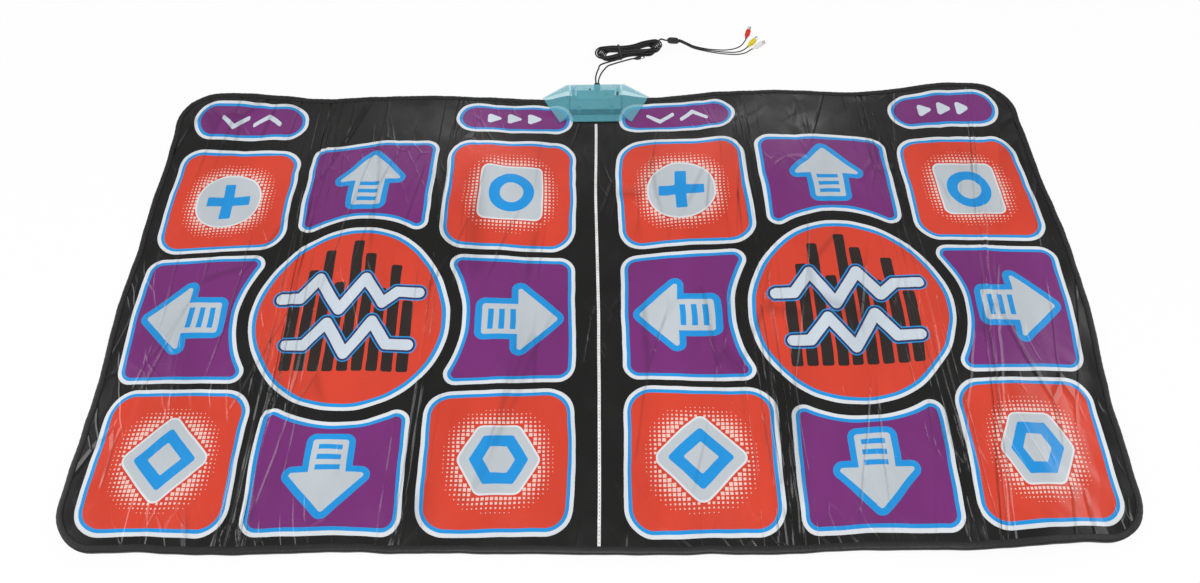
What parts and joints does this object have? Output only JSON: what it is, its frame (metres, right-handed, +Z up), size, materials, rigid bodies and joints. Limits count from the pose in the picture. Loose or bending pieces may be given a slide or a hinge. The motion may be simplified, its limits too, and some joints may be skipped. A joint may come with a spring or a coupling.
{
  "type": "electronic dance mat",
  "caption": "Soft floor mat for two players with arrow and corner step pads, select and start buttons, and a clear control box whose folded lead ends in phono plugs.",
  "frame": {"origin": "centre of the mat's underside, on the floor", "axes": "+X to the second player's side, +Y to the rear edge with the control box, +Z up"},
  "size_m": [1.65, 1.0871, 0.0284],
  "materials": {
    "black_pvc": "glossy wrinkled PVC film",
    "orange_print": "screen print on PVC",
    "purple_print": "screen print on PVC",
    "black_tape": "woven binding tape",
    "white_tape": "sewn tape",
    "film": "clear film with printed carbon tracks",
    "foam": "soft polyethylene foam",
    "backing": "non-slip backing cloth",
    "blue_clear": "see-through blue moulding",
    "board": "phenolic board",
    "black_plastic": "moulded",
    "gland_rubber": "moulded rubber",
    "steel": "plated",
    "lead_black": "flexible PVC jacket",
    "plug_red": "moulded",
    "plug_yellow": "moulded",
    "plug_white": "moulded",
    "plug_metal": "nickel plated"
  },
  "bodies": {
    "mat": {"top_cover": "black_pvc", "edge_binding": "black_tape", "centre_tape": "white_tape", "sensor_film_top": "film", "sensor_film_bottom": "film", "flex_tail": "film", "spacer_foam_left": "foam", "spacer_foam_right": "foam", "foam_pad": "foam", "base_sheet": "backing", "upper_shell": "blue_clear", "lower_shell": "blue_clear", "circuit_board": "board", "chip_blob": "black_plastic", "tail_clamp": "black_plastic", "power_led": "black_plastic", "cord_gland": "gland_rubber", "av_lead_root": "lead_black", "av_lead_hank": "lead_black", "av_lead_end": "lead_black", "av_splitter": "lead_black", "hank_tie": "black_plastic", "power_lead": "lead_black", "power_plug_grip": "lead_black", "power_plug_contact": "plug_metal", "tail_red": "lead_black", "plug_red_grip": "plug_red", "plug_red_contact": "plug_metal", "tail_yellow": "lead_black", "plug_yellow_grip": "plug_yellow", "plug_yellow_contact": "plug_metal", "tail_white": "lead_black", "plug_white_grip": "plug_white", "plug_white_contact": "plug_metal", "box_screw_1": "steel", "box_screw_2": "steel", "box_screw_3": "steel", "box_screw_4": "steel"},
    "p1_pad_up": {"p1_pad_up": "purple_print"},
    "p1_pad_down": {"p1_pad_down": "purple_print"},
    "p1_pad_left": {"p1_pad_left": "purple_print"},
    "p1_pad_right": {"p1_pad_right": "purple_print"},
    "p1_pad_rear_left": {"p1_pad_rear_left": "orange_print"},
    "p1_pad_rear_right": {"p1_pad_rear_right": "orange_print"},
    "p1_pad_front_left": {"p1_pad_front_left": "orange_print"},
    "p1_pad_front_right": {"p1_pad_front_right": "orange_print"},
    "p1_button_select": {"p1_button_select": "purple_print"},
    "p1_button_start": {"p1_button_start": "purple_print"},
    "p2_pad_up": {"p2_pad_up": "purple_print"},
    "p2_pad_down": {"p2_pad_down": "purple_print"},
    "p2_pad_left": {"p2_pad_left": "purple_print"},
    "p2_pad_right": {"p2_pad_right": "purple_print"},
    "p2_pad_rear_left": {"p2_pad_rear_left": "orange_print"},
    "p2_pad_rear_right": {"p2_pad_rear_right": "orange_print"},
    "p2_pad_front_left": {"p2_pad_front_left": "orange_print"},
    "p2_pad_front_right": {"p2_pad_front_right": "orange_print"},
    "p2_button_select": {"p2_button_select": "purple_print"},
    "p2_button_start": {"p2_button_start": "purple_print"},
    "power_switch": {"power_switch": "black_plastic"}
  },
  "joints": [
    {"name": "p1_pad_up_press", "type": "slide", "parent": "mat", "child": "p1_pad_up", "axis": [0, 0, -1], "range_m": [0, 0.0016], "stiffness_N_per_m": 8000},
    {"name": "p1_pad_down_press", "type": "slide", "parent": "mat", "child": "p1_pad_down", "axis": [0, 0, -1], "range_m": [0, 0.0016], "stiffness_N_per_m": 8000},
    {"name": "p1_pad_left_press", "type": "slide", "parent": "mat", "child": "p1_pad_left", "axis": [0, 0, -1], "range_m": [0, 0.0016], "stiffness_N_per_m": 8000},
    {"name": "p1_pad_right_press", "type": "slide", "parent": "mat", "child": "p1_pad_right", "axis": [0, 0, -1], "range_m": [0, 0.0016], "stiffness_N_per_m": 8000},
    {"name": "p1_pad_rear_left_press", "type": "slide", "parent": "mat", "child": "p1_pad_rear_left", "axis": [0, 0, -1], "range_m": [0, 0.0016], "stiffness_N_per_m": 8000},
    {"name": "p1_pad_rear_right_press", "type": "slide", "parent": "mat", "child": "p1_pad_rear_right", "axis": [0, 0, -1], "range_m": [0, 0.0016], "stiffness_N_per_m": 8000},
    {"name": "p1_pad_front_left_press", "type": "slide", "parent": "mat", "child": "p1_pad_front_left", "axis": [0, 0, -1], "range_m": [0, 0.0016], "stiffness_N_per_m": 8000},
    {"name": "p1_pad_front_right_press", "type": "slide", "parent": "mat", "child": "p1_pad_front_right", "axis": [0, 0, -1], "range_m": [0, 0.0016], "stiffness_N_per_m": 8000},
    {"name": "p1_button_select_press", "type": "slide", "parent": "mat", "child": "p1_button_select", "axis": [0, 0, -1], "range_m": [0, 0.0016], "stiffness_N_per_m": 8000},
    {"name": "p1_button_start_press", "type": "slide", "parent": "mat", "child": "p1_button_start", "axis": [0, 0, -1], "range_m": [0, 0.0016], "stiffness_N_per_m": 8000},
    {"name": "p2_pad_up_press", "type": "slide", "parent": "mat", "child": "p2_pad_up", "axis": [0, 0, -1], "range_m": [0, 0.0016], "stiffness_N_per_m": 8000},
    {"name": "p2_pad_down_press", "type": "slide", "parent": "mat", "child": "p2_pad_down", "axis": [0, 0, -1], "range_m": [0, 0.0016], "stiffness_N_per_m": 8000},
    {"name": "p2_pad_left_press", "type": "slide", "parent": "mat", "child": "p2_pad_left", "axis": [0, 0, -1], "range_m": [0, 0.0016], "stiffness_N_per_m": 8000},
    {"name": "p2_pad_right_press", "type": "slide", "parent": "mat", "child": "p2_pad_right", "axis": [0, 0, -1], "range_m": [0, 0.0016], "stiffness_N_per_m": 8000},
    {"name": "p2_pad_rear_left_press", "type": "slide", "parent": "mat", "child": "p2_pad_rear_left", "axis": [0, 0, -1], "range_m": [0, 0.0016], "stiffness_N_per_m": 8000},
    {"name": "p2_pad_rear_right_press", "type": "slide", "parent": "mat", "child": "p2_pad_rear_right", "axis": [0, 0, -1], "range_m": [0, 0.0016], "stiffness_N_per_m": 8000},
    {"name": "p2_pad_front_left_press", "type": "slide", "parent": "mat", "child": "p2_pad_front_left", "axis": [0, 0, -1], "range_m": [0, 0.0016], "stiffness_N_per_m": 8000},
    {"name": "p2_pad_front_right_press", "type": "slide", "parent": "mat", "child": "p2_pad_front_right", "axis": [0, 0, -1], "range_m": [0, 0.0016], "stiffness_N_per_m": 8000},
    {"name": "p2_button_select_press", "type": "slide", "parent": "mat", "child": "p2_button_select", "axis": [0, 0, -1], "range_m": [0, 0.0016], "stiffness_N_per_m": 8000},
    {"name": "p2_button_start_press", "type": "slide", "parent": "mat", "child": "p2_button_start", "axis": [0, 0, -1], "range_m": [0, 0.0016], "stiffness_N_per_m": 8000},
    {"name": "power_switch_slide", "type": "slide", "parent": "mat", "child": "power_switch", "axis": [0, 1, 0], "range_m": [0, 0.004]}
  ]
}
